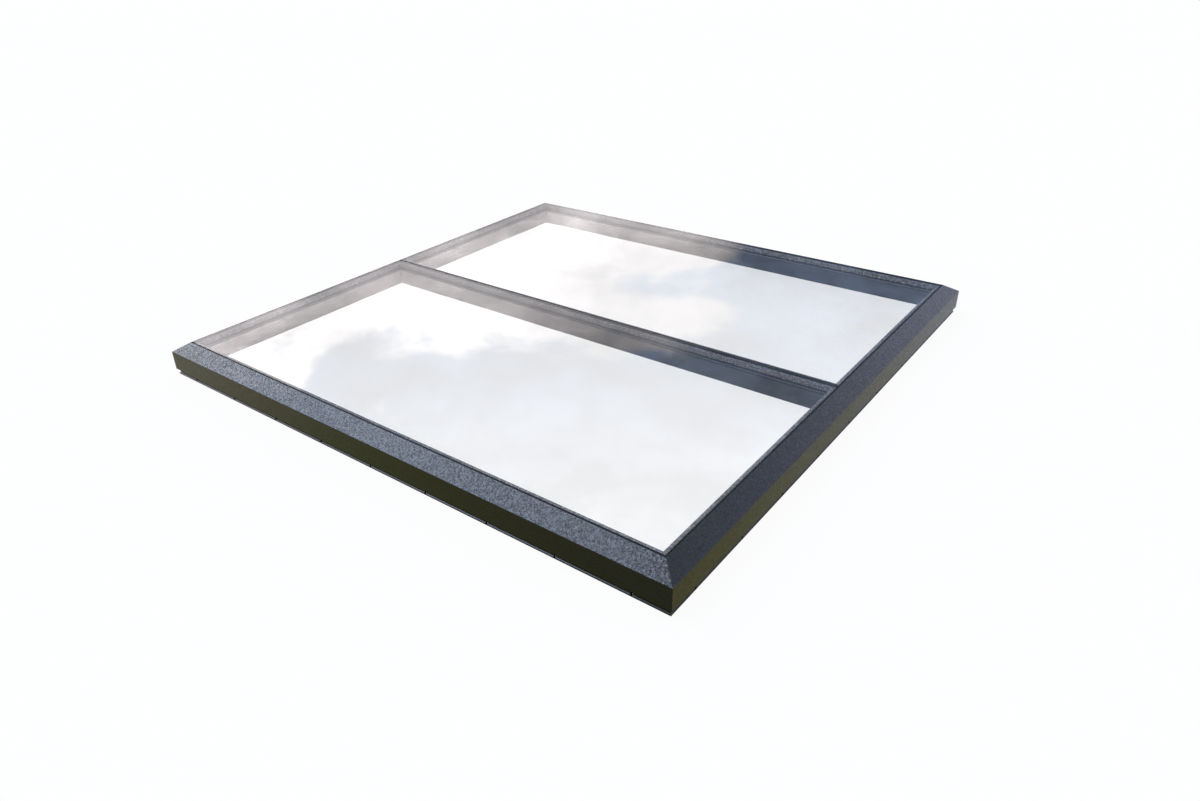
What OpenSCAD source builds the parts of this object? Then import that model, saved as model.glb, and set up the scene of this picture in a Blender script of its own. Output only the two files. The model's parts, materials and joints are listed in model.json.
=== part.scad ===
// Fixed flat rooflight: two double-glazed panes, flush with a sloping aluminium cap, on a
// thermally broken frame that sits over a timber kerb. Millimetres, +Z up. The origin is the
// middle of the base, on the plane that the drip leg's foot rests on. The glazing bar runs
// along X. A section is drawn as [outward distance from the opening's face, height, radius].

/* [Opening] */
// Clear width between the inner faces of the frame, along X
opening_w = 2000; // [900:10:2600]
// Clear length between the inner faces of the frame, along Y
opening_l = 2000; // [1200:10:3000]

/* [Kerb] */
// How far the frame reaches down past the top of the kerb
kerb_lap = 25; // [21:1:40]
// Thickness of the foam seal on the kerb
kerb_seal_t = 4; // [2:0.5:6]
// Gap between the outer edge of the seal and the drip leg
kerb_seal_gap = 8; // [2:1:20]
// Gap between the inner edge of the seal and the opening's face
kerb_seal_inset = 6; // [2:1:10]

/* [Cap] */
// Wall of the cap
cap_t = 3; // [2:0.5:4]
// Distance from the opening's face to the cap's edge beside the glass
cap_edge = 26; // [25:0.5:30]
// Horizontal run of the slope
bevel_run = 54; // [52:1:80]
// Height that the slope falls
bevel_drop = 33; // [24:1:36]
// Height of the vertical fascia
fascia_h = 70; // [60:1:90]
// Inward return at the foot of the fascia
fascia_return = 3; // [1:0.5:3]
// Depth of the turned-down edge beside the glass
cap_lip = 14; // [10:1:16]
// Outside radius of the bend between slope and fascia
cap_bend_r = 2; // [1:0.5:4]
// Gap behind the fascia, which the clips bridge
clip_gap = 6; // [5:0.5:9]

/* [Outer profile] */
// Height of the drip leg below the fascia
leg_h = 21; // [18:1:30]
// Wall of the box
outer_wall = 2.5; // [2:0.5:3]
// Wall of the drip leg
leg_t = 3; // [2.5:0.5:3.5]
// How far the foot of the leg stands out from the leg
foot_out = 4; // [3:0.5:5]
// Height of the foot's outer face
foot_h = 4.2; // [3:0.1:5]
// Height of the slope on top of the foot
foot_slope = 2.8; // [2:0.1:4]
// Depth of the box's top below the glazing level
outer_top_drop = 4; // [2:1:8]
// Wall of the rib that steadies the cap
steady_t = 3; // [2:0.5:4]

/* [Thermal break] */
// Width of the polyamide bar between the profiles
break_w = 12; // [8:1:16]
// Wall of the polyamide bar
break_wall = 2.5; // [2:0.5:3]
// How far the bar stands back from the frame's top and bottom
break_inset = 4; // [3:0.5:8]

/* [Inner profile] */
// Wall of the inner profile
inner_wall = 2.5; // [2:0.5:3]

/* [Fixing holes] */
// Diameter of each hole through the drip leg
hole_d = 8; // [5:0.5:8]
// Height of the holes' centres above the base
hole_z = 7.5; // [6:0.5:10]
// Largest distance between neighbouring holes
hole_pitch_max = 240; // [150:10:400]
// Distance from the opening's corner to the first hole
hole_end = 40; // [20:5:120]

/* [Glass] */
// Toughened outer pane
outer_pane_t = 6; // [6:1:10]
// Gas space between the panes
cavity_t = 16; // [12:1:20]
// Laminated inner pane
inner_pane_t = 6.8; // [6.4:0.4:10.8]
// Bearing of the glass on the frame, from the opening's face
glass_bearing = 21.5; // [18:0.5:23]
// Width of the sealant outside the spacer
edge_seal_w = 7; // [5:0.5:8]
// Width of the warm-edge spacer
spacer_w = 7.5; // [6:0.5:10]
// Glazing tape thickness
tape_t = 3.2; // [2:0.2:6]
// Gap between the glazing tape and the opening's face
tape_inset = 2; // [1:0.5:3]
// Gap between the glazing tape and the pane's edge
tape_back = 1.5; // [1:0.5:3]
// How far the gasket's top and the joint lie below the glass
seal_recess = 0.6; // [0.2:0.1:2]
// Depth of the perimeter gasket
gasket_h = 11; // [8:0.5:12]

/* [Glazing bar] */
// Width of the bar
bar_w = 60; // [50:1:80]
// Wall of the bar
bar_wall = 3; // [2:0.5:4]
// Width of the joint between the two panes
joint_w = 10; // [8:0.5:14]
// Depth of the silicone in the joint
joint_seal_h = 8; // [5:0.5:10]

/* [Spigots] */
// Length of the spigot in the end of the bar
spigot_len = 60; // [40:1:90]
// Plate of the spigot
spigot_t = 6; // [5:0.5:8]
// Diameter of the screws
screw_d = 6; // [5:1:6]
// Head diameter of the screws
screw_head_d = 11; // [9:0.5:12]
// Head height of the screws
screw_head_h = 3.5; // [2.5:0.5:4]
// Clear space round a screw head
screw_margin = 2; // [1:0.5:3]

/* [Corner cleats] */
// Length of a cleat's arm from the outer corner
cleat_arm = 90; // [70:5:140]
// Wall of a cleat
cleat_wall = 4; // [3:0.5:6]
// Length of a cap bracket's arm
bracket_arm = 60; // [30:5:100]
// Height of a cap bracket
bracket_h = 36; // [20:1:44]
// Plate of a cap bracket
bracket_t = 2; // [1:0.5:3]

/* [Clips and blocks] */
// Length of a cap clip
clip_len = 60; // [30:5:100]
// Height of a cap clip
clip_h = 24; // [16:1:30]
// Wall of a cap clip
clip_wall = 1.5; // [1:0.5:2]
// Largest distance between neighbouring clips
clip_pitch_max = 450; // [300:10:600]
// Distance from the opening's corner to the first clip
clip_end = 120; // [80:10:200]
// Length of a setting block
block_len = 100; // [50:5:150]
// Distance from the pane's corner to the middle of a setting block
block_end = 250; // [150:10:350]

/* [Hidden] */

// Colours
anthracite = "#3a4046";
rubber_black = "#1c1d1f";
polyamide = "#26282a";
mill_aluminium = "#b4b7ba";
zinc_steel = "#c3c5c4";
glass_tint = [0.78, 0.88, 0.90, 0.35];
spacer_grey = "#6f7375";
block_blue = "#3c5a78";

// Sides: the turn that brings the back side to each one
front = 180;
right = -90;
back = 0;
left = 90;
half_w = opening_w / 2;
half_l = opening_l / 2;

// Clearances
fit = 0.3;
mitre_gap = 0.2;
running = 0.05;
arc_steps = 5;
over = 1;
round_fn = 48;

// Levels
total_h = leg_h + fascia_h + bevel_drop;
glazing_z = total_h - outer_pane_t - cavity_t - inner_pane_t - tape_t;
frame_z = kerb_lap + kerb_seal_t;
outer_top = glazing_z - outer_top_drop;
pane_z = glazing_z + tape_t;
cavity_z = pane_z + inner_pane_t;
outer_pane_z = cavity_z + cavity_t;
rib_top = total_h - cap_lip;
seal_top = total_h - seal_recess;
gasket_z = seal_top - gasket_h;

// Outward distances from the opening's face
cap_out = cap_edge + bevel_run;
fascia_in = cap_out - cap_t;
rib_in = cap_edge + cap_t / 2;
inner_w = rib_in + inner_wall;
box_in = inner_w + break_w;
leg_out = fascia_in - clip_gap;
leg_in = leg_out - leg_t;
foot_face = leg_out + foot_out;
outer_box_w = leg_out - box_in;

// The slope of the cap and its underside
bevel_angle = atan2(bevel_drop, bevel_run);
function cap_under(v) = total_h - (v - cap_edge) * tan(bevel_angle) - cap_t / cos(bevel_angle);

// The rib of the outer profile that stops just under the slope of the cap
steady_mid = (box_in + leg_out) / 2;
steady_top = cap_under(steady_mid + steady_t / 2) - fit;

// Radii of the extruded and bent edges
edge_r = 1.5;
small_r = 0.4;

// Panes: half width, and the edges along Y of the pane on the back side
pane_half_w = half_w + glass_bearing;
pane_near = joint_w / 2;
pane_far = half_l + glass_bearing;

// Joint between the panes: silicone over a rod over a rubber strip
joint_seal_z = total_h - joint_seal_h;
rod_d = joint_w - 2 * fit;
rod_z = joint_seal_z - rod_d / 2;
strip_w = joint_w - 2 * fit;
strip_h = rod_z - rod_d / 2 - glazing_z;

// Spigot in the end of the bar
bar_h = glazing_z - frame_z;
spigot_w = bar_w - 2 * bar_wall - 2 * fit;
spigot_h = bar_h - 2 * bar_wall - 2 * fit;
spigot_z = frame_z + bar_wall + fit;
spigot_screw_y = spigot_w / 2 - spigot_t - screw_head_d / 2 - screw_margin;
spigot_screw_z = [
    spigot_z + spigot_t + screw_head_d / 2 + screw_margin,
    spigot_z + spigot_h - screw_head_d / 2 - screw_margin
];
screw_r = screw_d / 2;
screw_hole_r = screw_r + running;
screw_tip = 4;
screw_len = spigot_t + inner_wall + screw_tip;
bar_screw_x = [spigot_t + screw_head_d + screw_margin, spigot_len - screw_head_d];
bar_screw_len = bar_wall + fit + spigot_t + screw_tip;

// Cleats in the chambers of the profiles
outer_cleat_w = outer_box_w - outer_wall - leg_t - 2 * fit;
inner_cleat_w = inner_w - 2 * inner_wall - 2 * fit;
outer_cleat_z = frame_z + outer_wall + fit;
outer_cleat_h = outer_top - frame_z - 2 * outer_wall - 2 * fit;
inner_cleat_z = frame_z + inner_wall + fit;
inner_cleat_h = glazing_z - frame_z - 2 * inner_wall - 2 * fit;

// Middle of the brackets and clips behind the fascia
fascia_mid = leg_h + fascia_h / 2;

// Evenly spaced places along a side, no further apart than the given pitch
function places(run, end, pitch) =
    let (count = ceil((run - 2 * end) / pitch))
    [for (i = [0 : count]) -run / 2 + end + i * (run - 2 * end) / count];
function along(side) = abs(side) == 90 ? opening_l : opening_w;
function away(side) = abs(side) == 90 ? half_w : half_l;

// Outline with rounded corners: each corner is [v, z, radius]
function unit(v) = v / norm(v);
function corner_arc(a, b, c, r) =
    r == 0 ? [b] :
    let (
        u = unit(a - b),
        w = unit(c - b),
        half = acos(u * w) / 2,
        centre = b + unit(u + w) * r / sin(half),
        start = b + u * r / tan(half) - centre,
        stop = b + w * r / tan(half) - centre
    )
    [for (i = [0 : arc_steps]) centre + r * unit(start * (1 - i / arc_steps) + stop * i / arc_steps)];
function rounded(corners) =
    let (n = len(corners), p = [for (c = corners) [c[0], c[1]]])
    [for (i = [0 : n - 1]) each corner_arc(p[(i + n - 1) % n], p[i], p[(i + 1) % n], corners[i][2])];

// Puts what is drawn for the back side on the given side. Drawn there, X runs along the side,
// Y is the outward distance from the opening's face, and Z is the height.
module on_side(side) {
    rotate(side) translate([0, away(side), 0]) children();
}

// Runs a section along a side and mitres both ends
module mitred(side) {
    half = along(side) / 2;
    back_off = mitre_gap / sqrt(2);
    reach = cap_out + over;
    on_side(side) intersection() {
        rotate([90, 0, 90]) linear_extrude(2 * (half + reach), center = true) children();
        translate([0, 0, -over]) linear_extrude(total_h + 2 * over) polygon([
            [-(half - over - back_off), -over],
            [half - over - back_off, -over],
            [half + reach - back_off, reach],
            [-(half + reach - back_off), reach]
        ]);
    }
}

// Flat rectangle from its edges, with a thickness
module slab(x0, x1, y0, y1, z, h) {
    translate([x0, y0, z]) cube([x1 - x0, y1 - y0, h]);
}

// Band round a pane on the back side, from one inset of the pane's edge to another
module pane_band(from, to, z, h) {
    difference() {
        slab(-pane_half_w + from, pane_half_w - from, pane_near + from, pane_far - from, z, h);
        slab(-pane_half_w + to, pane_half_w - to, pane_near + to, pane_far - to, z - over, h + 2 * over);
    }
}

// Sections of the frame

module cap_section() {
    polygon(rounded([
        [cap_edge, total_h, edge_r],
        [cap_out, total_h - bevel_drop, cap_bend_r],
        [cap_out, leg_h, small_r],
        [fascia_in - fascia_return, leg_h, small_r],
        [fascia_in - fascia_return, leg_h + cap_t, small_r],
        [fascia_in, leg_h + cap_t, 0],
        [fascia_in, cap_under(fascia_in), 0],
        [cap_edge + cap_t, cap_under(cap_edge + cap_t), 0],
        [cap_edge + cap_t, rib_top, 0],
        [cap_edge, rib_top, small_r]
    ]));
}

module outer_section() {
    difference() {
        polygon(rounded([
            [leg_in, 0, 0],
            [foot_face, 0, small_r],
            [foot_face, foot_h, small_r],
            [leg_out, foot_h + foot_slope, 0],
            [leg_out, outer_top, small_r],
            [steady_mid + steady_t / 2, outer_top, 0],
            [steady_mid + steady_t / 2, steady_top, small_r],
            [steady_mid - steady_t / 2, steady_top, small_r],
            [steady_mid - steady_t / 2, outer_top, 0],
            [box_in, outer_top, 0],
            [box_in, frame_z, 0],
            [leg_in, frame_z, 0]
        ]));
        translate([box_in + outer_wall, frame_z + outer_wall])
            square([outer_box_w - outer_wall - leg_t, outer_top - frame_z - 2 * outer_wall]);
    }
}

module inner_section() {
    difference() {
        polygon(rounded([
            [0, frame_z, edge_r],
            [inner_w, frame_z, 0],
            [inner_w, rib_top, 0],
            [rib_in, rib_top, 0],
            [rib_in, glazing_z, 0],
            [0, glazing_z, edge_r]
        ]));
        translate([inner_wall, frame_z + inner_wall])
            square([inner_w - 2 * inner_wall, glazing_z - frame_z - 2 * inner_wall]);
    }
}

module break_section() {
    low = frame_z + break_inset;
    high = outer_top - break_inset;
    chamber_h = (high - low - 3 * break_wall) / 2;
    difference() {
        translate([inner_w, low]) square([break_w, high - low]);
        for (i = [0, 1])
            translate([inner_w + break_wall, low + break_wall + i * (chamber_h + break_wall)])
                square([break_w - 2 * break_wall, chamber_h]);
    }
}

// Pieces of the frame

module cap(side) {
    color(anthracite) mitred(side) cap_section();
}

module outer_profile(side) {
    color(anthracite) difference() {
        mitred(side) outer_section();
        on_side(side) for (x = places(along(side), hole_end, hole_pitch_max))
            translate([x, leg_in - over, hole_z]) rotate([-90, 0, 0])
                cylinder(h = foot_face - leg_in + 2 * over, d = hole_d, $fn = round_fn);
    }
}

module thermal_break(side) {
    color(polyamide) mitred(side) break_section();
}

module inner_profile(side) {
    color(anthracite) difference() {
        mitred(side) inner_section();
        if (abs(side) == 90) on_side(side) for (y = [-1, 1], z = spigot_screw_z)
            translate([y * spigot_screw_y, -over, z]) rotate([-90, 0, 0])
                cylinder(h = inner_wall + 2 * over, r = screw_hole_r, $fn = round_fn);
    }
}

// Glazing bar, its spigots and screws

module countersunk_screw(length) {
    cylinder(h = bar_wall, r1 = screw_r + bar_wall, r2 = screw_r, $fn = round_fn);
    cylinder(h = length, r = screw_r, $fn = round_fn);
}

module countersunk_hole(length) {
    translate([0, 0, -over])
        cylinder(
            h = bar_wall + over,
            r1 = screw_hole_r + bar_wall + over,
            r2 = screw_hole_r,
            $fn = round_fn
        );
    cylinder(h = length, r = screw_hole_r, $fn = round_fn);
}

module glazing_bar() {
    color(anthracite) difference() {
        rotate([90, 0, 90]) linear_extrude(opening_w, center = true) difference() {
            polygon(rounded([
                [-bar_w / 2, frame_z, edge_r],
                [bar_w / 2, frame_z, edge_r],
                [bar_w / 2, glazing_z, edge_r],
                [-bar_w / 2, glazing_z, edge_r]
            ]));
            translate([-bar_w / 2 + bar_wall, frame_z + bar_wall])
                square([bar_w - 2 * bar_wall, bar_h - 2 * bar_wall]);
        }
        for (side = [left, right], x = bar_screw_x)
            on_side(side) translate([0, -x, frame_z]) countersunk_hole(bar_screw_len);
    }
}

module bar_spigot(side) {
    color(mill_aluminium) on_side(side) difference() {
        translate([-spigot_w / 2, -spigot_len, spigot_z]) cube([spigot_w, spigot_len, spigot_h]);
        translate([-spigot_w / 2 + spigot_t, -spigot_len - over, spigot_z + spigot_t])
            cube([spigot_w - 2 * spigot_t, spigot_len + over - spigot_t, spigot_h]);
        for (y = [-1, 1], z = spigot_screw_z)
            translate([y * spigot_screw_y, -spigot_t - over, z]) rotate([-90, 0, 0])
                cylinder(h = spigot_t + 2 * over, r = screw_hole_r, $fn = round_fn);
        for (x = bar_screw_x)
            translate([0, -x, spigot_z - over])
                cylinder(h = spigot_t + 2 * over, r = screw_hole_r, $fn = round_fn);
    }
}

module spigot_screws() {
    color(zinc_steel) for (side = [left, right]) on_side(side) for (y = [-1, 1], z = spigot_screw_z)
        translate([y * spigot_screw_y, -spigot_t, z]) rotate([-90, 0, 0]) {
            cylinder(h = screw_len, r = screw_r, $fn = round_fn);
            translate([0, 0, -screw_head_h]) cylinder(h = screw_head_h, d = screw_head_d, $fn = 6);
        }
}

module bar_screws() {
    color(zinc_steel) for (side = [left, right], x = bar_screw_x)
        on_side(side) translate([0, -x, frame_z]) countersunk_screw(bar_screw_len);
}

// Corner pieces, drawn for the corner of the back and right sides

module each_corner() {
    for (mx = [0, 1], my = [0, 1]) mirror([mx, 0, 0]) mirror([0, my, 0]) children();
}

module cleat(v, w, z, h) {
    x_out = half_w + v + w;
    y_out = half_l + v + w;
    pocket = w - 2 * cleat_wall;
    pocket_len = cleat_arm - w - 2 * cleat_wall;
    difference() {
        union() {
            translate([x_out - cleat_arm, y_out - w, z]) cube([cleat_arm, w, h]);
            translate([x_out - w, y_out - cleat_arm, z]) cube([w, cleat_arm, h]);
        }
        translate([x_out - cleat_arm + cleat_wall, y_out - w + cleat_wall, z - over])
            cube([pocket_len, pocket, h + 2 * over]);
        translate([x_out - w + cleat_wall, y_out - cleat_arm + cleat_wall, z - over])
            cube([pocket, pocket_len, h + 2 * over]);
    }
}

module outer_corner_cleats() {
    color(mill_aluminium) each_corner()
        cleat(box_in + outer_wall + fit, outer_cleat_w, outer_cleat_z, outer_cleat_h);
}

module inner_corner_cleats() {
    color(mill_aluminium) each_corner()
        cleat(inner_wall + fit, inner_cleat_w, inner_cleat_z, inner_cleat_h);
}

module cap_corner_brackets() {
    x_out = half_w + fascia_in;
    y_out = half_l + fascia_in;
    color(mill_aluminium) each_corner() translate([0, 0, fascia_mid - bracket_h / 2]) {
        translate([x_out - bracket_arm, y_out - bracket_t, 0]) cube([bracket_arm, bracket_t, bracket_h]);
        translate([x_out - bracket_t, y_out - bracket_arm, 0]) cube([bracket_t, bracket_arm, bracket_h]);
    }
}

module cap_clips() {
    gap = fascia_in - leg_out;
    color(zinc_steel) for (side = [front, right, back, left]) on_side(side)
        for (x = places(along(side), clip_end, clip_pitch_max))
            translate([x, leg_out, fascia_mid - clip_h / 2]) rotate([90, 0, 90])
                linear_extrude(clip_len, center = true) difference() {
                    square([gap, clip_h]);
                    translate([clip_wall, -over]) square([gap - 2 * clip_wall, clip_h - clip_wall + over]);
                }
}

// Seals

module perimeter_gasket() {
    out_w = half_w + cap_edge;
    out_l = half_l + cap_edge;
    in_w = half_w + glass_bearing;
    in_l = half_l + glass_bearing;
    color(rubber_black) difference() {
        slab(-out_w, out_w, -out_l, out_l, gasket_z, gasket_h);
        slab(-in_w, in_w, -in_l, in_l, gasket_z - over, gasket_h + 2 * over);
    }
}

module joint_seal() {
    color(rubber_black)
        slab(-pane_half_w, pane_half_w, -pane_near, pane_near, joint_seal_z, seal_top - joint_seal_z);
}

module backer_rod() {
    color("dimgray") translate([-pane_half_w, 0, rod_z]) rotate([0, 90, 0])
        cylinder(h = 2 * pane_half_w, d = rod_d, $fn = round_fn);
}

module centre_strip() {
    color(rubber_black) slab(-half_w, half_w, -strip_w / 2, strip_w / 2, glazing_z, strip_h);
}

module kerb_seal() {
    color(rubber_black) for (side = [front, right, back, left])
        mitred(side) translate([kerb_seal_inset, kerb_lap])
            square([leg_in - kerb_seal_gap - kerb_seal_inset, kerb_seal_t]);
}

// Double-glazed units, drawn for the back pane

module outer_pane(side) {
    color(glass_tint) rotate(side)
        slab(-pane_half_w, pane_half_w, pane_near, pane_far, outer_pane_z, outer_pane_t);
}

module inner_pane(side) {
    color(glass_tint) rotate(side)
        slab(-pane_half_w, pane_half_w, pane_near, pane_far, pane_z, inner_pane_t);
}

module spacer(side) {
    color(spacer_grey) rotate(side)
        pane_band(edge_seal_w, edge_seal_w + spacer_w, cavity_z, cavity_t);
}

module edge_seal(side) {
    color(rubber_black) rotate(side) pane_band(0, edge_seal_w, cavity_z, cavity_t);
}

module glazing_tape(side) {
    color(rubber_black) rotate(side)
        pane_band(tape_back, glass_bearing - tape_inset, glazing_z, tape_t);
}

module setting_blocks(side) {
    block_t = rib_in - glass_bearing;
    block_h = min(rib_top, gasket_z) - pane_z - fit;
    color(block_blue) rotate(side) {
        for (x = [-1, 1])
            translate([x * (pane_half_w - block_end) - block_len / 2, pane_far, pane_z])
                cube([block_len, block_t, block_h]);
        for (x = [-pane_half_w - block_t, pane_half_w], y = [pane_near + block_end, pane_far - block_end])
            translate([x, y - block_len / 2, pane_z]) cube([block_t, block_len, block_h]);
    }
}

cap(front);  // front_cap
cap(right);  // right_cap
cap(back);  // back_cap
cap(left);  // left_cap
outer_profile(front);  // front_outer_profile
outer_profile(right);  // right_outer_profile
outer_profile(back);  // back_outer_profile
outer_profile(left);  // left_outer_profile
thermal_break(front);  // front_thermal_break
thermal_break(right);  // right_thermal_break
thermal_break(back);  // back_thermal_break
thermal_break(left);  // left_thermal_break
inner_profile(front);  // front_inner_profile
inner_profile(right);  // right_inner_profile
inner_profile(back);  // back_inner_profile
inner_profile(left);  // left_inner_profile
glazing_bar();
bar_spigot(left);  // left_bar_spigot
bar_spigot(right);  // right_bar_spigot
spigot_screws();
bar_screws();
outer_corner_cleats();
inner_corner_cleats();
cap_corner_brackets();
cap_clips();
perimeter_gasket();
joint_seal();
backer_rod();
centre_strip();
outer_pane(front);  // front_outer_pane
outer_pane(back);  // back_outer_pane
inner_pane(front);  // front_inner_pane
inner_pane(back);  // back_inner_pane
spacer(front);  // front_spacer
spacer(back);  // back_spacer
edge_seal(front);  // front_edge_seal
edge_seal(back);  // back_edge_seal
glazing_tape(front);  // front_glazing_tape
glazing_tape(back);  // back_glazing_tape
setting_blocks(front);  // front_setting_blocks
setting_blocks(back);  // back_setting_blocks
kerb_seal();
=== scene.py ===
import json
import math
import random
import bmesh
import bpy
from mathutils import Matrix, Vector


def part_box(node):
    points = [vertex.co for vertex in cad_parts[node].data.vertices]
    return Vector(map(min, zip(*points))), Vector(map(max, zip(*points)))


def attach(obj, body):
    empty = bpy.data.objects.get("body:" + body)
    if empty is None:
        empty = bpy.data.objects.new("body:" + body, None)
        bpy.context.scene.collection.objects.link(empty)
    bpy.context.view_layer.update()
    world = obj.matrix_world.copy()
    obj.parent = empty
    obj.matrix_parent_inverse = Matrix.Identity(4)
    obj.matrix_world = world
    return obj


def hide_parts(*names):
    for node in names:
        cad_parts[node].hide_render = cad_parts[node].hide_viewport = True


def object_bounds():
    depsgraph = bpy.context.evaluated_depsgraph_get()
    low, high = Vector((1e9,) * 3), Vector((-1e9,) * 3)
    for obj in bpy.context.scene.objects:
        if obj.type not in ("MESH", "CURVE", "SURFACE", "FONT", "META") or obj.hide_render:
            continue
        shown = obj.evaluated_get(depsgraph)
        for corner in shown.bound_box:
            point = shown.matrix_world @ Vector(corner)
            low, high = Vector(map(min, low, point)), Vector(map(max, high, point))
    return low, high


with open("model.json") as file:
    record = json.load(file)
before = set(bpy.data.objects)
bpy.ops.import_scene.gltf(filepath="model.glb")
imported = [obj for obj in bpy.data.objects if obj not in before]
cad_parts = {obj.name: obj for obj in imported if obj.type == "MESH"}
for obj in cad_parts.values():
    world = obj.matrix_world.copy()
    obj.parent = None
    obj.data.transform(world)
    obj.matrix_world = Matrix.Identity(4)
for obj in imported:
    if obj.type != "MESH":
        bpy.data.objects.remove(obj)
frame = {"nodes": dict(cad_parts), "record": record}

cadLow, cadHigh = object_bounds()
cadMiddle = (cadLow + cadHigh) / 2
modelWidth = cadHigh.x - cadLow.x
scene = bpy.context.scene
mm = 0.001
weldDistance = 0.001 * mm  # corners closer than this are one
noiseSpan = (0.3, 0.7)  # most of a noise pattern's values lie between these
slotOfNode = {row["node"]: row["material_slot"] for row in frame["record"]["subparts"]}
print("frame loaded,", len(frame["nodes"]), "nodes")


def hexToLinear(hexText, strength=1.0):
    # the sRGB curve, with a factor for lights
    channels = [int(hexText.lstrip("#")[i:i + 2], 16) / 255 for i in (0, 2, 4)]
    linear = [c / 12.92 if c <= 0.04045 else ((c + 0.055) / 1.055) ** 2.4 for c in channels]
    return (*[c * strength for c in linear], 1.0)


def addNode(tree, kind, settings=None, links=None):
    # settings are input sockets, the node's own properties, a colour ramp's stops or the two
    # ends of a range (From, To), and links are input socket: output socket
    node = tree.nodes.new(kind)
    for key, value in (settings or {}).items():
        if key == "stops":
            marks = node.color_ramp.elements
            marks[0].position, marks[1].position = value[0][0], value[-1][0]
            marks[0].color, marks[1].color = hexToLinear(value[0][1]), hexToLinear(value[-1][1])
            for position, colour in value[1:-1]:
                marks.new(position).color = hexToLinear(colour)
        elif key in ("From", "To"):
            for end, number in zip((" Min", " Max"), value):
                node.inputs[key + end].default_value = number
        elif isinstance(key, int) or (key in node.inputs and not hasattr(node, key)):
            node.inputs[key].default_value = value
        else:
            setattr(node, key, value)
    for key, sources in (links or {}).items():
        for source in sources if isinstance(sources, list) else [sources]:
            tree.links.new(source, node.inputs[key])
    return node


def newMaterial(name):
    material = bpy.data.materials.new(name)
    material.use_nodes = True
    tree = material.node_tree
    tree.nodes.clear()
    out = addNode(tree, "ShaderNodeOutputMaterial")
    coords = addNode(tree, "ShaderNodeTexCoord").outputs["Object"]
    return material, tree, out, coords


def meshPiece(name, vertices, faces, material):
    mesh = bpy.data.meshes.new(name)
    mesh.from_pydata([tuple(v) for v in vertices], [], faces)
    mesh.materials.append(material)
    piece = bpy.data.objects.new(name, mesh)
    scene.collection.objects.link(piece)
    return piece


def closeShell(piece):
    # welds a closed mesh and turns its faces outwards
    shell = bmesh.new()
    shell.from_mesh(piece.data)
    bmesh.ops.remove_doubles(shell, verts=shell.verts, dist=weldDistance)
    bmesh.ops.recalc_face_normals(shell, faces=shell.faces)
    shell.to_mesh(piece.data)
    shell.free()


def standFor(piece, node):
    # the finished piece takes the CAD node's place
    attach(piece, "root")
    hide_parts(node)


cameraSetup = {
    "azimuth": 38.8245,  # degrees the view is turned from +Y towards -X
    "pitch": -28.529,
    "roll": -1.8517,
    "standpoint": (0.86194, -1.11556, 0.65183),  # from the middle of the model, in its widths
    "lens": 25.97,
    "sensor": 36.0,
    "shift": (0.0259, -0.0142),
    "range": (0.05, 200.0),  # metres, the nearest and the furthest that it shows
}


def makeCamera(setup):
    azimuth, pitch, roll = (math.radians(setup[k]) for k in ("azimuth", "pitch", "roll"))
    across = math.cos(pitch)
    forward = Vector((-math.sin(azimuth) * across, math.cos(azimuth) * across, math.sin(pitch)))
    level = forward.cross(Vector((0, 0, 1))).normalized()
    upright = level.cross(forward)
    right = level * math.cos(roll) + upright * math.sin(roll)
    up = right.cross(forward)
    camera = bpy.data.objects.new("camera", bpy.data.cameras.new("camera"))
    place = Matrix((right, up, -forward)).transposed().to_4x4()
    place.translation = cadMiddle + Vector(setup["standpoint"]) * modelWidth
    camera.matrix_world = place
    camera.data.sensor_width = setup["sensor"]
    camera.data.lens = setup["lens"]
    camera.data.shift_x, camera.data.shift_y = setup["shift"]
    camera.data.clip_start, camera.data.clip_end = setup["range"]
    scene.collection.objects.link(camera)
    scene.camera = camera


makeCamera(cameraSetup)
print("camera placed")

powderValues = {
    "stops": [(0.36, "#25282b"), (0.5, "#2b2e31"), (0.64, "#33373b")],  # anthracite
    "grain": 4.0,  # mm; the real hills are about 0.5 mm wide, drawn coarser so that they show
    "grainDetail": 2.0,
    "grainRoughness": 0.6,
    "grainSpan": (0.42, 0.58),  # part of the grain that changes the roughness
    "drift": 160.0,  # mm, slow change of the film's thickness
    "driftDetail": 2.0,
    "driftShade": (0.94, 1.06),  # what it does to the colour
    "roughness": (0.05, 0.1),
    "tilt": 0.1,  # slope of the hills
    "index": 1.5,
}


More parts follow.
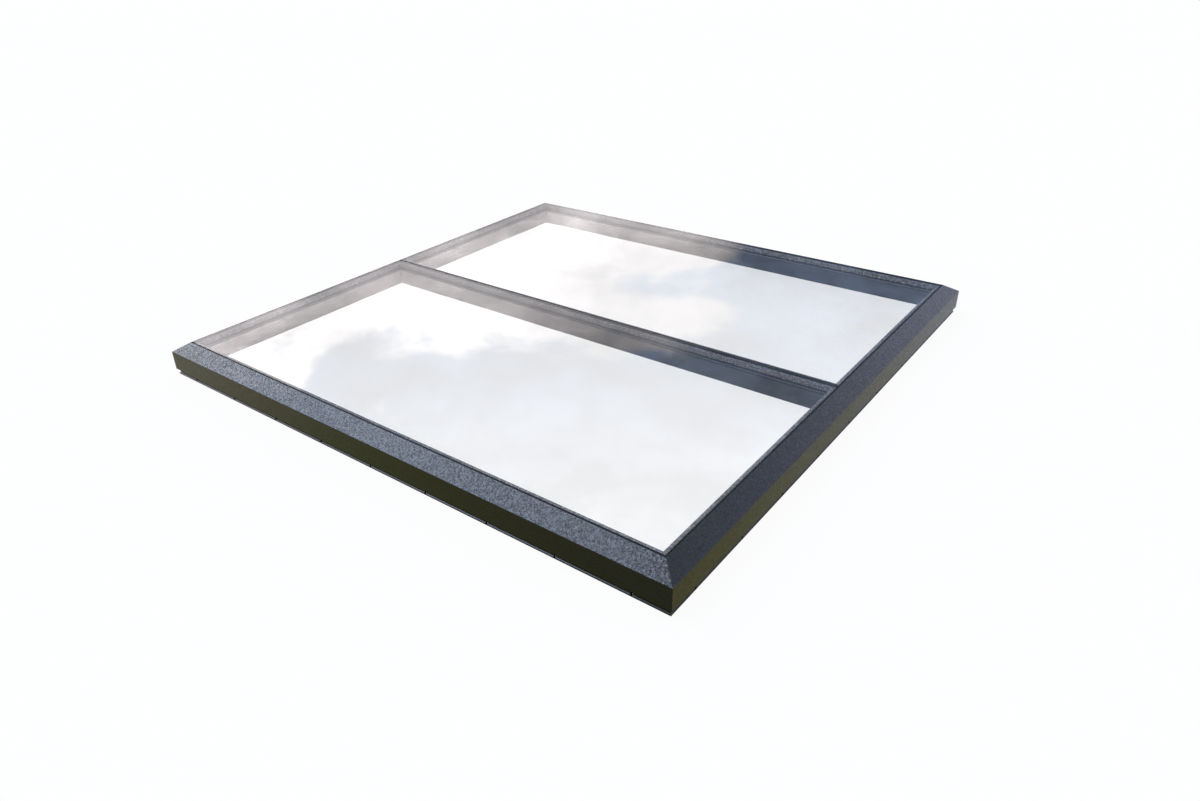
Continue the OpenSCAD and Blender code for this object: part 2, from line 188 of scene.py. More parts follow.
def makePowderCoat(name, values):
    # polyester powder, sprayed and baked: the melt leaves small hills, and each mirrors a
    # slightly different part of the sky, so the dark colour glitters where a light is patchy
    material, tree, out, coords = newMaterial(name)
    hills = addNode(tree, "ShaderNodeTexVoronoi", {"Scale": 1 / (values["grain"] * mm)}, {
        "Vector": coords,
    }).outputs["Color"]
    grain = addNode(tree, "ShaderNodeTexNoise", {
        "Scale": 1 / (values["grain"] * mm),
        "Detail": values["grainDetail"], "Roughness": values["grainRoughness"],
    }, {"Vector": coords}).outputs["Fac"]
    drift = addNode(tree, "ShaderNodeTexNoise", {
        "Scale": 1 / (values["drift"] * mm), "Detail": values["driftDetail"],
    }, {"Vector": coords}).outputs["Fac"]
    speckle = addNode(tree, "ShaderNodeValToRGB", {"stops": values["stops"]}, {"Fac": grain})
    shade = addNode(tree, "ShaderNodeMapRange", {"From": noiseSpan, "To": values["driftShade"]}, {
        "Value": drift,
    })
    tint = addNode(tree, "ShaderNodeVectorMath", {"operation": "SCALE"}, {
        0: speckle.outputs["Color"], "Scale": shade.outputs["Result"],
    })
    rough = addNode(tree, "ShaderNodeMapRange", {
        "From": values["grainSpan"], "To": values["roughness"],
    }, {"Value": grain})
    face = addNode(tree, "ShaderNodeNewGeometry")
    level = addNode(tree, "ShaderNodeVectorMath", {
        "operation": "MULTIPLY_ADD", 1: (values["tilt"],) * 3, 2: (-values["tilt"] / 2,) * 3,
    }, {0: hills})
    tilted = addNode(tree, "ShaderNodeVectorMath", {"operation": "ADD"}, {
        0: level.outputs[0], 1: face.outputs["Normal"],
    })
    slope = addNode(tree, "ShaderNodeVectorMath", {"operation": "NORMALIZE"}, {0: tilted.outputs[0]})
    coat = addNode(tree, "ShaderNodeBsdfPrincipled", {"IOR": values["index"]}, {
        "Base Color": tint.outputs["Vector"],
        "Roughness": rough.outputs["Result"],
        "Normal": slope.outputs["Vector"],
    })
    tree.links.new(coat.outputs["BSDF"], out.inputs["Surface"])
    return material


# the inner and outer profiles and the glazing bar are coated in a smoother, satin grade
satinValues = dict(powderValues, grain=1.6, tilt=0.01, roughness=(0.14, 0.24))

glassValues = {
    "tint": "#fefefe",  # low-iron float
    "mirror": 1.8,  # index that gives one drawn face the reflection of a pane's two faces
    "wave": 320.0,  # mm between the roller waves of toughened glass
    "waveTilt": 0.006,  # steepest slope of a wave
}


def makeGlass(name, values):
    # toughened low-iron float: seen straight through, clear head on and a mirror at a flat
    # angle, with a slow roller wave that bends what it mirrors
    material, tree, out, coords = newMaterial(name)
    wave = addNode(tree, "ShaderNodeTexNoise", {
        "Scale": 1 / (values["wave"] * mm), "Detail": 0.0,
    }, {"Vector": coords})
    side = addNode(tree, "ShaderNodeNewGeometry")
    tilt = addNode(tree, "ShaderNodeVectorMath", {
        "operation": "MULTIPLY_ADD", 1: (values["waveTilt"],) * 3,
    }, {0: wave.outputs["Color"], 2: side.outputs["Normal"]})
    gloss = addNode(tree, "ShaderNodeBsdfGlossy", {"Roughness": 0.0}, {
        "Normal": tilt.outputs["Vector"],
    })
    clear = addNode(tree, "ShaderNodeBsdfTransparent", {"Color": hexToLinear(values["tint"])})
    angle = addNode(tree, "ShaderNodeFresnel", {"IOR": values["mirror"]})
    share = addNode(tree, "ShaderNodeMath", {"operation": "SUBTRACT", "use_clamp": True}, {
        0: angle.outputs["Fac"], 1: side.outputs["Backfacing"],
    })
    mix = addNode(tree, "ShaderNodeMixShader", {}, {
        0: share.outputs[0], 1: clear.outputs[0], 2: gloss.outputs[0],
    })
    tree.links.new(mix.outputs[0], out.inputs["Surface"])
    return material


# Each finish: colours from the pattern's dark to its light parts, size of the pattern in mm,
# roughness from its dark to its light parts, height of its relief in mm. Some are metallic,
# are stretched along an axis or are made of cells. The keys are the record's slots, and two
# of the script's own for the glazing tape and the edge seals.
plainFinishes = {
    # pressed through a die: bright streaks along the bar, drawn wider than real die lines
    "mill_aluminium": {
        "name": "extrudedAluminium", "stops": [(0.3, "#a9acaf"), (0.7, "#c4c6c8")],
        "grain": 1.5, "roughness": (0.3, 0.45), "height": 0.05,
        "metallic": 1.0, "stretch": (0.04, 1, 1),
    },
    # bright zinc with a clear passivation: a cool metal with cloudy patches
    "zinc_steel": {
        "name": "zincPlatedSteel", "stops": [(0.3, "#b7bcc0"), (0.7, "#d2d4d0")],
        "grain": 2.0, "roughness": (0.22, 0.38), "height": 0.01, "metallic": 1.0,
    },
    # nylon with a quarter of glass fibre: matt black, with the fibres as faint flecks
    "polyamide": {
        "name": "glassFilledPolyamide", "stops": [(0.3, "#222427"), (0.7, "#2d2f32")],
        "grain": 0.8,  # coarser than the real fibres, so that they show
        "roughness": (0.5, 0.7), "height": 0.05,
    },
    # extruded and cured rubber: black with a soft sheen and a bloom of slightly paler dust
    "epdm_rubber": {
        "name": "epdmRubber", "stops": [(0.3, "#1a1b1e"), (0.7, "#27292c")],
        "grain": 1.2, "roughness": (0.3, 0.42), "height": 0.05,
    },
    # gunned and tooled wet: soft sheen drawn out along the joint
    "silicone_seal": {
        "name": "blackSilicone", "stops": [(0.3, "#191b1e"), (0.7, "#222528")],
        "grain": 6.0, "roughness": (0.36, 0.5), "height": 0.05, "stretch": (0.2, 1, 1),
    },
    # grey double-sided glazing tape: even, soft and half matt; its pale grey is partly a painted
    # highlight for the lit top edge of the glazing bar
    "tape": {
        "name": "acrylicFoamTapeAndHighlight", "stops": [(0.3, "#6f757c"), (0.7, "#878d94")],
        "grain": 1.4, "roughness": (0.5, 0.7), "height": 0.05,
    },
    # polyethylene foam: closed cells about a millimetre wide with thin walls between them
    "foam_strip": {
        "name": "closedCellFoam", "stops": [(0.1, "#1d1d1e"), (0.6, "#2c2d2e")],
        "grain": 1.4, "roughness": (0.8, 0.95), "height": 0.4, "cells": True,
    },
    # two-part sealant round the edge of the unit: dark grey, with pale streaks of poor mixing
    "edgeSealant": {
        "name": "polysulphideSealant",
        "stops": [(0.38, "#484a4d"), (0.52, "#5c5d60"), (0.64, "#828384")],
        "grain": 5.0, "roughness": (0.4, 0.6), "height": 0.05,
    },
    # silicone foam filled with drying powder: grey with pale specks
    "spacer_foam": {
        "name": "warmEdgeFoam",
        "stops": [(0.38, "#55575a"), (0.52, "#727376"), (0.64, "#b4b0ad")],
        "grain": 5.0,  # coarser than the real specks, so that they show
        "roughness": (0.55, 0.8), "height": 0.05,
    },
    # injection moulded: even satin blue
    "block_plastic": {
        "name": "mouldedPolypropylene", "stops": [(0.3, "#36526d"), (0.7, "#42617f")],
        "grain": 5.0, "roughness": (0.4, 0.55), "height": 0.05,
    },
}
finishDetail = 3.0  # finer and finer grain inside each pattern
finishRelief = 0.5  # share of the relief that shows


def makeFinish(values):
    material, tree, out, coords = newMaterial(values["name"])
    turned = addNode(tree, "ShaderNodeMapping", {"Scale": values.get("stretch", (1, 1, 1))}, {
        "Vector": coords,
    })
    kind, detail, output = "ShaderNodeTexNoise", {"Detail": finishDetail}, "Fac"
    if values.get("cells"):
        kind, detail, output = "ShaderNodeTexVoronoi", {}, "Distance"
    grain = addNode(tree, kind, {"Scale": 1 / (values["grain"] * mm), **detail}, {
        "Vector": turned.outputs[0],
    }).outputs[output]
    colour = addNode(tree, "ShaderNodeValToRGB", {"stops": values["stops"]}, {"Fac": grain})
    rough = addNode(tree, "ShaderNodeMapRange", {"From": noiseSpan, "To": values["roughness"]}, {
        "Value": grain,
    })
    bump = addNode(tree, "ShaderNodeBump", {
        "Strength": finishRelief, "Distance": values["height"] * mm,
    }, {"Height": grain})
    surface = addNode(tree, "ShaderNodeBsdfPrincipled", {"Metallic": values.get("metallic", 0.0)}, {
        "Base Color": colour.outputs["Color"],
        "Roughness": rough.outputs["Result"],
        "Normal": bump.outputs["Normal"],
    })
    tree.links.new(surface.outputs["BSDF"], out.inputs["Surface"])
    return material


finishes = {slot: makeFinish(values) for slot, values in plainFinishes.items()}
finishes["powder_coat"] = makePowderCoat("fineTexturePowderCoat", powderValues)
finishes["satinCoat"] = makePowderCoat("satinPowderCoat", satinValues)
finishes["clear_glass"] = makeGlass("toughenedFloatGlass", glassValues)
print("finishes made,", len(finishes))

for node, piece in frame["nodes"].items():
    finish = slotOfNode[node]
    if node.endswith(("inner_profile", "outer_profile")) or node == "glazing_bar":
        finish = "satinCoat"
    # the tape's pale grey is partly a painted highlight along the glazing bar's top edge
    elif node.endswith("glazing_tape"):
        finish = "tape"
    elif node.endswith("edge_seal"):
        finish = "edgeSealant"
    piece.data.materials.clear()
    piece.data.materials.append(finishes[finish])
print("CAD nodes finished")

gasketValues = {
    # from the glass to the cap: share of the width, and depth below the top in mm
    "section": [
        (0.0, 0.6), (0.05, 0.15), (0.13, 0.0), (0.22, 0.2), (0.28, 1.2), (0.38, 3.4), (0.5, 4.0),
        (0.62, 3.4), (0.72, 1.2), (0.78, 0.2), (0.87, 0.0), (0.95, 0.15), (1.0, 0.6),
    ],
}


def makeGasket(name, values, node, material):
    # one rubber frame: two rounded lips with a channel between them, mitred at the corners
    low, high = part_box(node)
    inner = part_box("back_outer_pane")[1]  # the lips start at the edge of the glass
    width, height = high.x - inner.x, (high.z - low.z) / mm
    section = [(0.0, height)] + values["section"] + [(1.0, height)]
    vertices = [
        (x * (inner.x + share * width), y * (inner.y + share * width), high.z - depth * mm)
        for x, y in ((-1, -1), (1, -1), (1, 1), (-1, 1)) for share, depth in section
    ]
    count = len(section)
    faces = [
        (side * count + i, side * count + (i + 1) % count,
         (side + 1) % 4 * count + (i + 1) % count, (side + 1) % 4 * count + i)
        for side in range(4) for i in range(count)
    ]
    gasket = meshPiece(name, vertices, faces, material)
    closeShell(gasket)
    standFor(gasket, node)


jointValues = {
    "stations": 160,
    "across": 9,
    "hollow": 1.2,  # mm, how far the tooled face dips between the panes
    "ripple": 0.25,  # mm, left by the tool along the bead
    "waves": 5,  # that make up the ripple
    "turns": (6, 40),  # of a wave, from one end of the joint to the other
    "seed": 4,
}


def makeJointSeal(name, values, node, material):
    # silicone pressed hollow with a round tool, from one end of the joint to the other
    low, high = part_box(node)
    draw = random.Random(values["seed"])
    waves = [
        (draw.uniform(*values["turns"]), draw.uniform(0, 2 * math.pi)) for wave in range(values["waves"])
    ]
    vertices = []
    for station in range(values["stations"] + 1):
        along = station / values["stations"]
        heights = [math.sin(turns * along * 2 * math.pi + start) for turns, start in waves]
        ripple = sum(heights) / len(waves)
        x = low.x + along * (high.x - low.x)
        for i in range(values["across"]):
            share = 2 * i / (values["across"] - 1) - 1
            dip = (values["hollow"] + values["ripple"] * ripple) * (1 - share * share)
            vertices.append((x, low.y + (share + 1) / 2 * (high.y - low.y), high.z - dip * mm))
        vertices += [(x, high.y, low.z), (x, low.y, low.z)]
    ring = values["across"] + 2
    faces = [
        (s * ring + i, (s + 1) * ring + i, (s + 1) * ring + (i + 1) % ring, s * ring + (i + 1) % ring)
        for s in range(values["stations"]) for i in range(ring)
    ]
    last = values["stations"] * ring
    faces += [tuple(range(ring)), tuple(range(last, last + ring))]
    seal = meshPiece(name, vertices, faces, material)
    closeShell(seal)
    standFor(seal, node)


screwValues = {
    "sizes": {  # mm, levels are measured from the face of the head
        "headRadius": 6.0, "shankRadius": 3.0, "tipRadius": 0.0,
        "starRadius": 2.9, "starInner": 2.1, "starRound": 0.4,
        "face": 0.0, "recess": -2.2, "neck": -3.0, "shoulder": -10.3, "point": -13.3,
    },
    "spacing": 30.0,  # between the two screws at one end of the bar
    "sides": 32,
    "lobes": 6,
    "lobeSteps": 3,  # corners that round off a lobe
    "weld": 0.01,
}


def makeBarScrews(name, values, node, material):
    # countersunk screws with a star recess, driven up into the ends of the bar
    low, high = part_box(node)
    tree = bpy.data.node_groups.new("countersunkScrew", "GeometryNodeTree")
    tree.interface.new_socket("Geometry", in_out="INPUT", socket_type="NodeSocketGeometry")
    keys = {
        size: tree.interface.new_socket(size, in_out="INPUT", socket_type="NodeSocketFloat").identifier
        for size in values["sizes"]
    }
    tree.interface.new_socket("Geometry", in_out="OUTPUT", socket_type="NodeSocketGeometry")
    given = addNode(tree, "NodeGroupInput").outputs
    circle = addNode(tree, "GeometryNodeCurvePrimitiveCircle", {"Resolution": values["sides"]}, {
        "Radius": given["headRadius"],
    })
    star = addNode(tree, "GeometryNodeCurveStar", {"Points": values["lobes"], "Twist": 0.0}, {
        "Outer Radius": given["starRadius"], "Inner Radius": given["starInner"],
    })
    lobes = addNode(tree, "GeometryNodeFilletCurve", {"mode": "POLY", "Count": values["lobeSteps"]}, {
        "Curve": star.outputs["Curve"], "Radius": given["starRound"],
    })
    rim = addNode(tree, "GeometryNodeJoinGeometry", {}, {0: [circle.outputs[0], lobes.outputs[0]]})
    face = addNode(tree, "GeometryNodeFillCurve", {}, {0: rim.outputs[0]})
    floorOfStar = addNode(tree, "GeometryNodeFillCurve", {}, {0: lobes.outputs[0]})
    pit = addNode(tree, "GeometryNodeExtrudeMesh", {"mode": "FACES", "Individual": False}, {
        "Mesh": floorOfStar.outputs[0], "Offset Scale": given["recess"],
    })
    parts = [face.outputs[0], pit.outputs["Mesh"]]
    # the countersink, the shank and the tip, each from its upper to its lower ring
    rings = [
        ("face", "headRadius"), ("neck", "shankRadius"), ("shoulder", "shankRadius"),
        ("point", "tipRadius"),
    ]
    for (upper, wide), (lower, narrow) in zip(rings, rings[1:]):
        depth = addNode(tree, "ShaderNodeMath", {"operation": "SUBTRACT"}, {
            0: given[upper], 1: given[lower],
        })
        cone = addNode(tree, "GeometryNodeMeshCone", {"fill_type": "NONE", "Vertices": values["sides"]}, {
            "Radius Top": given[wide], "Radius Bottom": given[narrow], "Depth": depth.outputs[0],
        })
        level = addNode(tree, "ShaderNodeCombineXYZ", {}, {"Z": given[lower]})
        placed = addNode(tree, "GeometryNodeTransform", {}, {
            "Geometry": cone.outputs["Mesh"], "Translation": level.outputs[0],
        })
        parts.append(placed.outputs[0])
    screw = addNode(tree, "GeometryNodeJoinGeometry", {}, {0: parts})
    welded = addNode(tree, "GeometryNodeMergeByDistance", {"Distance": values["weld"] * mm}, {
        0: screw.outputs[0],
    })
    # turned over, with the head down
    screws = addNode(tree, "GeometryNodeInstanceOnPoints", {"Rotation": (math.pi, 0, 0)}, {
        "Points": given["Geometry"], "Instance": welded.outputs[0],
    })
    whole = addNode(tree, "GeometryNodeRealizeInstances", {}, {0: screws.outputs[0]})
    zinc = addNode(tree, "GeometryNodeSetMaterial", {"Material": material}, {0: whole.outputs[0]})
    addNode(tree, "NodeGroupOutput", {}, {0: zinc.outputs[0]})

    outer = high.x - values["sizes"]["headRadius"] * mm
    inner = outer - values["spacing"] * mm
    piece = meshPiece(name, [(x, 0, low.z) for x in (-outer, -inner, inner, outer)], [], material)
    screwing = piece.modifiers.new("screws", "NODES")
    screwing.node_group = tree
    for size, value in values["sizes"].items():
        screwing[keys[size]] = value * mm
    evaluated = piece.evaluated_get(bpy.context.evaluated_depsgraph_get())
    mesh = bpy.data.meshes.new_from_object(evaluated)
    piece.modifiers.clear()
    piece.data = mesh
    closeShell(piece)
    standFor(piece, node)


makeGasket("perimeterGasket", gasketValues, "perimeter_gasket", finishes["epdm_rubber"])
makeJointSeal("jointSeal", jointValues, "joint_seal", finishes["silicone_seal"])
makeBarScrews("barScrews", screwValues, "bar_screws", finishes["zinc_steel"])
print("gasket, joint seal and screws made")

stageValues = {
    "pale": "#fbfbfb",
    "glow": 0.98,
    "lit": 0.06,  # share of the light that falls on the floor and shows there
    "spread": 30.0,  # metres from the middle to the floor's edge
    "drop": 0.3,  # mm, the floor lies this far under the frame
    "paintedBounceOlive": "#94904e",  # painted bounce glow that the frame mirrors in place of the ground beside it
    "grey": "#babdc2",  # and in place of the ground further back, also painted glow
    "paintedBounceStops": [(0.0, "#cac6a8"), (0.5, "#979559"), (1.0, "#726f3a")],  # painted bounce glow in front, from left to right
    "blockTop": 24.8,  # mm, a low pale block stands where the kerb would be
    "blockOut": 64.0,  # mm that it reaches out past the ends of the glazing bar
    "blockGlow": 1.06,
    "blockBounce": "#f2f4f8",
    "blockShade": "#101010",  # its sides, painted dark as the shade under the frame
}


def addPaintedBounceGlow(tree, coords, values):
    # painted bounce glow, which only the object sees and mirrors in the floor's place: in front it
    # changes from left to right, and at the right side from front to back
    place = addNode(tree, "ShaderNodeSeparateXYZ", {}, {0: coords})
    across = addNode(tree, "ShaderNodeMapRange", {"From": (cadLow.x, cadHigh.x)}, {
        "Value": place.outputs["X"],
    })
    front = addNode(tree, "ShaderNodeValToRGB", {"stops": values["paintedBounceStops"]}, {
        "Fac": across.outputs["Result"],
    })
    back = addNode(tree, "ShaderNodeMapRange", {"From": (cadLow.y, cadHigh.y)}, {
        "Value": place.outputs["Y"],
    })
    side = addNode(tree, "ShaderNodeMix", {
        "data_type": "RGBA", 6: hexToLinear(values["paintedBounceOlive"]), 7: hexToLinear(values["grey"]),
    }, {0: back.outputs["Result"]})
    beside = addNode(tree, "ShaderNodeMath", {"operation": "GREATER_THAN", 1: cadHigh.x}, {
        0: place.outputs["X"],
    })
    both = addNode(tree, "ShaderNodeMix", {"data_type": "RGBA"}, {
        0: beside.outputs[0], 6: front.outputs["Color"], 7: side.outputs[2],
    })
    return both.outputs[2]


def makeStageMaterial(name, values, glow, bounce=None):
    # the camera sees an even pale glow, and the object sees a painted bounce glow in its place: a flat
    # colour, or the painted reflection colour that changes over the floor
    material, tree, out, coords = newMaterial(name)
    path = addNode(tree, "ShaderNodeLightPath")
    pale = addNode(tree, "ShaderNodeBsdfDiffuse", {
        "Color": hexToLinear(values["pale"], values["lit"]),
    })
    shine = addNode(tree, "ShaderNodeEmission", {
        "Color": hexToLinear(values["pale"]), "Strength": glow,
    })
    seen = addNode(tree, "ShaderNodeAddShader", {}, {0: pale.outputs[0], 1: shine.outputs[0]})
    # what the object sees here is a painted glow that stands in for bounced and mirrored ground light
    ground = addNode(tree, "ShaderNodeEmission")
    if bounce:
        ground.inputs["Color"].default_value = hexToLinear(bounce)
    else:
        tree.links.new(addPaintedBounceGlow(tree, coords, values), ground.inputs["Color"])
    top = addNode(tree, "ShaderNodeMixShader", {}, {
        0: path.outputs["Is Camera Ray"], 1: ground.outputs[0], 2: seen.outputs[0],
    })
    clear = addNode(tree, "ShaderNodeBsdfTransparent")
    face = addNode(tree, "ShaderNodeNewGeometry")
    whole = addNode(tree, "ShaderNodeMixShader", {}, {
        0: face.outputs["Backfacing"], 1: top.outputs[0], 2: clear.outputs[0],
    })
    tree.links.new(whole.outputs[0], out.inputs["Surface"])
    return material


def squareRing(half, z):
    return [(-half, -half, z), (half, -half, z), (half, half, z), (-half, half, z)]


def makeStage(values):
    # a wide floor, and the pale block under the panes with its sides painted dark as shade
    paleFloor = makeStageMaterial("paleFloor", values, values["glow"])
    paleBlock = makeStageMaterial("paleBlock", values, values["blockGlow"], values["blockBounce"])
    # the block's sides are a dark sheet of painted shade, standing for the dark under the frame
    paintedShadeBlock = makeStageMaterial("paintedShadeBlock", values, 0.0, values["blockShade"])
    floorZ = cadLow.z - values["drop"] * mm
    floor = meshPiece("floor", squareRing(values["spread"], floorZ), [(0, 1, 2, 3)], paleFloor)
    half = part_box("glazing_bar")[1].x + values["blockOut"] * mm
    corners = squareRing(half, floorZ) + squareRing(half, values["blockTop"] * mm)
    block = meshPiece("block", corners, [
        (4, 5, 6, 7), (0, 1, 5, 4), (1, 2, 6, 5), (2, 3, 7, 6), (3, 0, 4, 7),
    ], paleBlock)
    block.data.materials.append(paintedShadeBlock)
    for side in block.data.polygons[1:]:
        side.material_index = 1


makeStage(stageValues)
print("floor and block made")

skyValues = {
    # colour of the sky between the clouds, by height from the horizon to overhead
    "heights": [
        (0.0, "#7d8798"), (0.34, "#8197ba"), (0.48, "#8496b3"), (0.6, "#cad1dc"), (0.85, "#d5e2f8"),
    ],
    "cloud": "#fff7f7",
    "cloudLight": (1.05, 2.1),  # dull and bright parts of the clouds
    "cloudFlat": 2.0,  # times as wide as they are high
    "puffs": {"Scale": 5.0, "Detail": 6.0, "Roughness": 0.58, "Distortion": 0.15},
    "wisps": {"Scale": 8.0, "Detail": 5.0, "Roughness": 0.6},  # finer folds, between the clouds too
    "wispSpan": (0.38, 0.62),
    "hazeLight": (0.6, 1.6),  # what the wisps do to the sky between the clouds
    "bankTop": (0.458, 0.37),  # height at which the bright bank of cloud starts and is full
    "bankSide": (-0.36, -0.45),  # and how far to the left
    "bankRise": (-0.74, -0.84),  # where the bank climbs at its left end
    "bankClimb": 0.3,  # and how far
    "gapWay": (-0.46, 0.81, 0.371),  # a flat dark gap in the bank
    "gapStretch": (1.0, 0.3, 5.0),
    "gapEdge": (0.15, 0.04),
    "gapDepth": 0.5,
    "ragged": 2.6,  # how much the puffs tear the bank's edge
    "cloudEdge": (1.55, 1.92),  # sum of bank and puffs at which a cloud starts and is full
    "cloudFade": (-0.66, -0.52),  # the clouds are duller to the right of this
    "cloudDull": 0.5,
    "lowClouds": (0.36, 0.31),  # below these heights they stay fresh further to the right
    "lowReach": 0.2,
    "lowLift": 1.35,  # and are this much brighter
    "leftClouds": (-0.775, -0.79),  # and brighter again to the left of this
    "leftLift": 1.5,
    "eastColour": "#dde4ff",  # pale haze to the right, low over the ground
    "eastStrength": 1.4,
    "eastSide": (-0.08, 0.22),
    "eastHeight": (0.75, 0.35),
    "eastTop": 0.3,  # what is left of it high up
    "keyWay": (-0.64, -0.2, 0.74),
    "keyEdge": (0.9, 0.99),  # cosines of the soft lamp's outer and inner edge
    "keyColour": "#d9e7ff",
    "keyStrength": 4.0,
    "keyPatches": 25.0,  # thin cloud in front of the lamp, which the powder coat breaks up
    "keySpan": (0.4, 0.6),
    "keyDepth": (0.35, 1.65),
    "frontSide": (-0.05, -0.5),
    "frontShade": 0.2,  # what is left of the sky behind the camera
    "horizon": (-0.03, 0.03),
    "ground": "#57553f",
}


def addClouds(tree, way, axis, values):
    # a bank of cloud low on the left, torn by puffs and with one gap, in front of a blue sky
    flat = addNode(tree, "ShaderNodeMapping", {"Scale": (1.0, 1.0, values["cloudFlat"])}, {
        "Vector": way,
    })
    puffs, wisps = (
        addNode(tree, "ShaderNodeTexNoise", values[kind], {
            "Vector": flat.outputs["Vector"],
        }).outputs["Fac"] for kind in ("puffs", "wisps")
    )
    rise = addNode(tree, "ShaderNodeMapRange", {
        "From": values["bankRise"], "To": (0.0, values["bankClimb"]),
    }, {"Value": axis["X"]})
    climb = addNode(tree, "ShaderNodeMath", {"operation": "SUBTRACT"}, {
        0: axis["Z"], 1: rise.outputs["Result"],
    })
    low = addNode(tree, "ShaderNodeMapRange", {"From": values["bankTop"]}, {
        "Value": climb.outputs[0],
    })
    west = addNode(tree, "ShaderNodeMapRange", {"From": values["bankSide"]}, {"Value": axis["X"]})
    bank = addNode(tree, "ShaderNodeMath", {"operation": "MULTIPLY"}, {
        0: low.outputs["Result"], 1: west.outputs["Result"],
    })
    stretched = addNode(tree, "ShaderNodeVectorMath", {
        "operation": "MULTIPLY", 1: values["gapStretch"],
    }, {0: way})
    fromGap = addNode(tree, "ShaderNodeVectorMath", {
        "operation": "DISTANCE", 1: Vector(values["gapWay"]) * Vector(values["gapStretch"]),
    }, {0: stretched.outputs[0]})
    gap = addNode(tree, "ShaderNodeMapRange", {
        "From": values["gapEdge"], "To": (0.0, values["gapDepth"]),
        "interpolation_type": "SMOOTHSTEP",
    }, {"Value": fromGap.outputs["Value"]})
    broken = addNode(tree, "ShaderNodeMath", {"operation": "SUBTRACT"}, {
        0: bank.outputs[0], 1: gap.outputs["Result"],
    })
    ragged = addNode(tree, "ShaderNodeMath", {"operation": "MULTIPLY_ADD", 1: values["ragged"]}, {
        0: puffs, 2: broken.outputs[0],
    })
    cover = addNode(tree, "ShaderNodeMapRange", {
        "From": values["cloudEdge"], "interpolation_type": "SMOOTHSTEP",
    }, {"Value": ragged.outputs[0]})

    between = addNode(tree, "ShaderNodeValToRGB", {"stops": values["heights"]}, {"Fac": axis["Z"]})
    mottle = addNode(tree, "ShaderNodeMapRange", {
        "From": values["wispSpan"], "To": values["hazeLight"],
    }, {"Value": wisps})
    haze = addNode(tree, "ShaderNodeVectorMath", {"operation": "SCALE"}, {
        0: between.outputs["Color"], "Scale": mottle.outputs["Result"],
    })

    folds = addNode(tree, "ShaderNodeMapRange", {
        "From": values["wispSpan"], "To": values["cloudLight"],
    }, {"Value": wisps})
    under = addNode(tree, "ShaderNodeMapRange", {
        "From": values["lowClouds"], "To": (0.0, values["lowReach"]),
    }, {"Value": axis["Z"]})
    aside = addNode(tree, "ShaderNodeMath", {"operation": "SUBTRACT"}, {
        0: axis["X"], 1: under.outputs["Result"],
    })
    lowLift = addNode(tree, "ShaderNodeMapRange", {
        "From": values["lowClouds"], "To": (1.0, values["lowLift"]),
    }, {"Value": axis["Z"]})
    leftLift = addNode(tree, "ShaderNodeMapRange", {
        "From": values["leftClouds"], "To": (1.0, values["leftLift"]),
    }, {"Value": axis["X"]})
    fresh = addNode(tree, "ShaderNodeMath", {"operation": "MAXIMUM"}, {
        0: lowLift.outputs["Result"], 1: leftLift.outputs["Result"],
    })
    dull = addNode(tree, "ShaderNodeMapRange", {
        "From": values["cloudFade"], "To Max": values["cloudDull"],
    }, {"Value": aside.outputs[0], "To Min": fresh.outputs[0]})
    level = addNode(tree, "ShaderNodeMath", {"operation": "MULTIPLY"}, {
        0: folds.outputs["Result"], 1: dull.outputs["Result"],
    })
    cloud = addNode(tree, "ShaderNodeVectorMath", {
        "operation": "SCALE", 0: hexToLinear(values["cloud"])[:3],
    }, {"Scale": level.outputs[0]})
    sky = addNode(tree, "ShaderNodeMix", {"data_type": "RGBA"}, {
        0: cover.outputs["Result"], 6: haze.outputs["Vector"], 7: cloud.outputs["Vector"],
    })
    return sky.outputs[2]


def addLamp(tree, way, values):
    # one large soft lamp behind thin, patchy cloud
    facing = addNode(tree, "ShaderNodeVectorMath", {
        "operation": "DOT_PRODUCT", 1: Vector(values["keyWay"]).normalized(),
    }, {0: way})
    lamp = addNode(tree, "ShaderNodeMapRange", {
        "From": values["keyEdge"], "interpolation_type": "SMOOTHSTEP",
    }, {"Value": facing.outputs["Value"]})
    patches = addNode(tree, "ShaderNodeTexNoise", {"Scale": values["keyPatches"], "Detail": 0.0}, {
        "Vector": way,
    })
    veil = addNode(tree, "ShaderNodeMapRange", {
        "From": values["keySpan"], "To": values["keyDepth"],
    }, {"Value": patches.outputs["Fac"]})
    level = addNode(tree, "ShaderNodeMath", {"operation": "MULTIPLY"}, {
        0: lamp.outputs["Result"], 1: veil.outputs["Result"],
    })
    light = addNode(tree, "ShaderNodeVectorMath", {
        "operation": "SCALE", 0: hexToLinear(values["keyColour"], values["keyStrength"])[:3],
    }, {"Scale": level.outputs[0]})
    return light.outputs["Vector"]


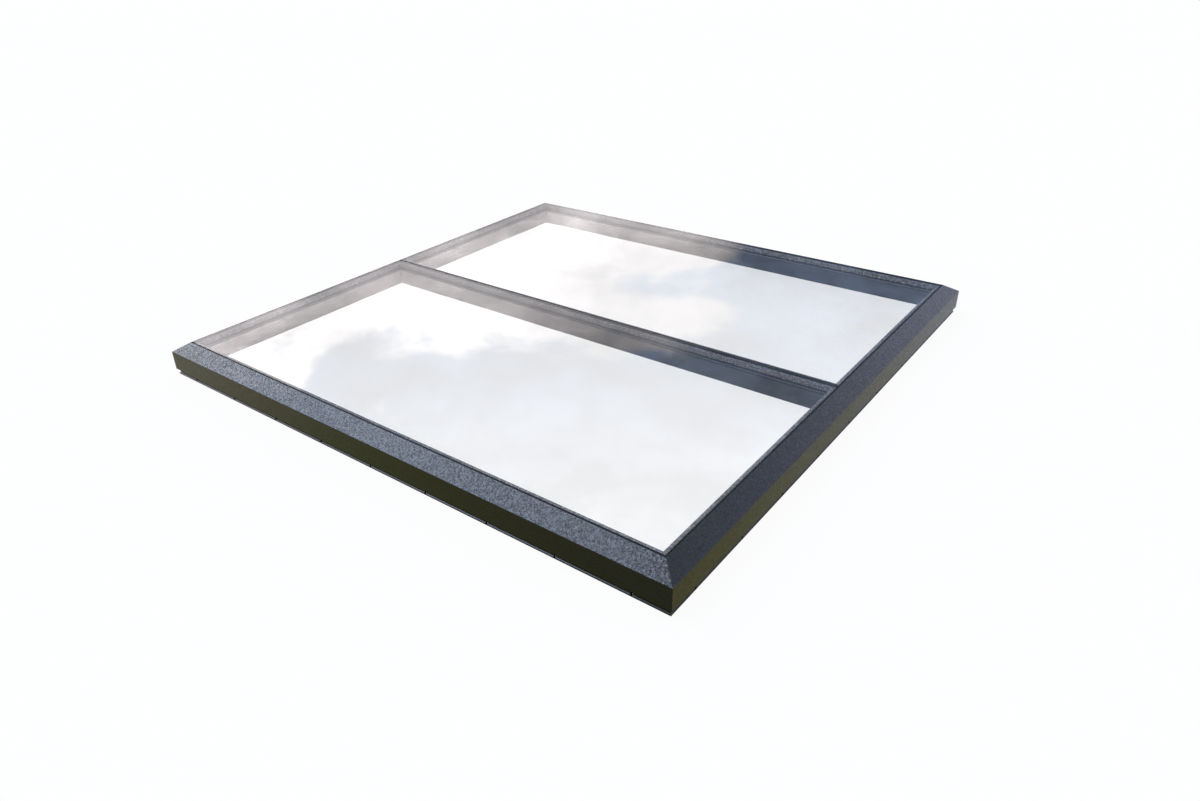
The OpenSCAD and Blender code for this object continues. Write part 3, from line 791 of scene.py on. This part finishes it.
def makeSky(values):
    # a cloudy sky that lights the object, which the camera sees as plain white
    world = bpy.data.worlds.new("softSky")
    scene.world = world
    world.use_nodes = True
    tree = world.node_tree
    tree.nodes.clear()
    way = addNode(tree, "ShaderNodeTexCoord").outputs["Generated"]
    axis = addNode(tree, "ShaderNodeSeparateXYZ", {}, {0: way}).outputs
    clouds = addClouds(tree, way, axis, values)
    right = addNode(tree, "ShaderNodeMapRange", {"From": values["eastSide"]}, {"Value": axis["X"]})
    thin = addNode(tree, "ShaderNodeMapRange", {
        "From": values["eastHeight"], "To": (values["eastTop"], 1.0),
    }, {"Value": axis["Z"]})
    east = addNode(tree, "ShaderNodeVectorMath", {
        "operation": "SCALE", 0: hexToLinear(values["eastColour"], values["eastStrength"])[:3],
    }, {"Scale": thin.outputs["Result"]})
    wide = addNode(tree, "ShaderNodeMix", {"data_type": "RGBA"}, {
        0: right.outputs["Result"], 6: clouds, 7: east.outputs["Vector"],
    })
    shade = addNode(tree, "ShaderNodeMapRange", {
        "From": values["frontSide"], "To": (1.0, values["frontShade"]),
    }, {"Value": axis["Y"]})
    shaded = addNode(tree, "ShaderNodeVectorMath", {"operation": "SCALE"}, {
        0: wide.outputs[2], "Scale": shade.outputs["Result"],
    })
    lit = addNode(tree, "ShaderNodeVectorMath", {"operation": "ADD"}, {
        0: shaded.outputs["Vector"], 1: addLamp(tree, way, values),
    })
    above = addNode(tree, "ShaderNodeMapRange", {"From": values["horizon"]}, {"Value": axis["Z"]})
    dome = addNode(tree, "ShaderNodeMix", {"data_type": "RGBA", 6: hexToLinear(values["ground"])}, {
        0: above.outputs["Result"], 7: lit.outputs["Vector"],
    })
    light = addNode(tree, "ShaderNodeBackground", {}, {"Color": dome.outputs[2]})
    plain = addNode(tree, "ShaderNodeBackground", {"Color": (1, 1, 1, 1)})
    path = addNode(tree, "ShaderNodeLightPath")
    both = addNode(tree, "ShaderNodeMixShader", {}, {
        0: path.outputs["Is Camera Ray"], 1: light.outputs[0], 2: plain.outputs[0],
    })
    addNode(tree, "ShaderNodeOutputWorld", {}, {"Surface": both.outputs[0]})


makeSky(skyValues)
scene.view_settings.view_transform = "Standard"
print("sky made")
